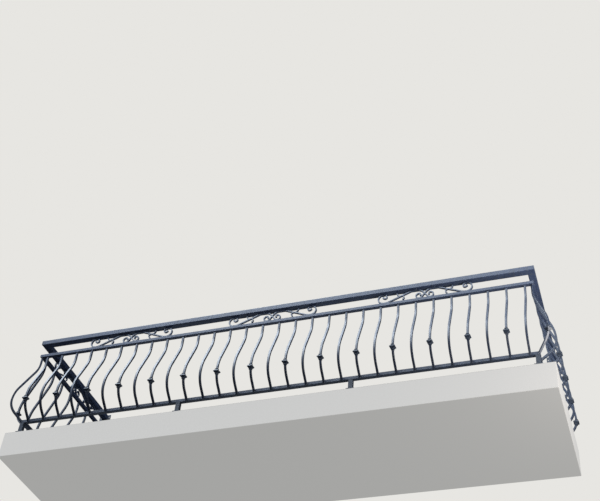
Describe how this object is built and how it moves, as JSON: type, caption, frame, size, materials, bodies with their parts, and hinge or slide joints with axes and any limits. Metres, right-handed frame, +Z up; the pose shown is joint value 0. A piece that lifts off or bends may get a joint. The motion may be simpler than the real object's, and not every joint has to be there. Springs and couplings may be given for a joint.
{
  "type": "balcony railing",
  "caption": "Three-sided iron balcony railing with bellied square bars, cast knots, scroll ornaments under a heavier top rail, and short bolted feet.",
  "frame": {"origin": "middle of the railing's bounding box on the plane of the foot plates' undersides", "axes": "+X along the front rails, to the right as seen from the street; +Y towards the wall; +Z up"},
  "size_m": [4.41, 1.2825, 0.916],
  "materials": {
    "rail_paint": "semi-gloss",
    "bar_paint": "semi-gloss",
    "knot_paint": "semi-gloss",
    "scroll_paint": "semi-gloss",
    "plate_paint": "satin"
  },
  "bodies": {
    "root": {"bottom_rail_front": "rail_paint", "bottom_rail_left": "rail_paint", "bottom_rail_right": "rail_paint", "corner_bar_left": "bar_paint", "corner_bar_right": "bar_paint", "corner_knot_right": "knot_paint", "foot_corner_left": "plate_paint", "foot_corner_right": "plate_paint", "foot_middle_left": "plate_paint", "foot_middle_right": "plate_paint", "foot_rear_left": "plate_paint", "foot_rear_right": "plate_paint", "front_bars_bay_1": "bar_paint", "front_bars_bay_2": "bar_paint", "front_bars_bay_3": "bar_paint", "front_knots_bay_1": "knot_paint", "front_knots_bay_2": "knot_paint", "front_knots_bay_3": "knot_paint", "front_scroll_left": "scroll_paint", "front_scroll_middle": "scroll_paint", "front_scroll_right": "scroll_paint", "middle_rail_front": "rail_paint", "middle_rail_left": "rail_paint", "middle_rail_right": "rail_paint", "return_bars_left": "bar_paint", "return_bars_right": "bar_paint", "return_knots_left": "knot_paint", "return_knots_right": "knot_paint", "return_scroll_left": "scroll_paint", "return_scroll_right": "scroll_paint", "top_rail_front": "rail_paint", "top_rail_left": "rail_paint", "top_rail_right": "rail_paint", "wall_plates_left": "plate_paint", "wall_plates_right": "plate_paint"}
  },
  "joints": []
}
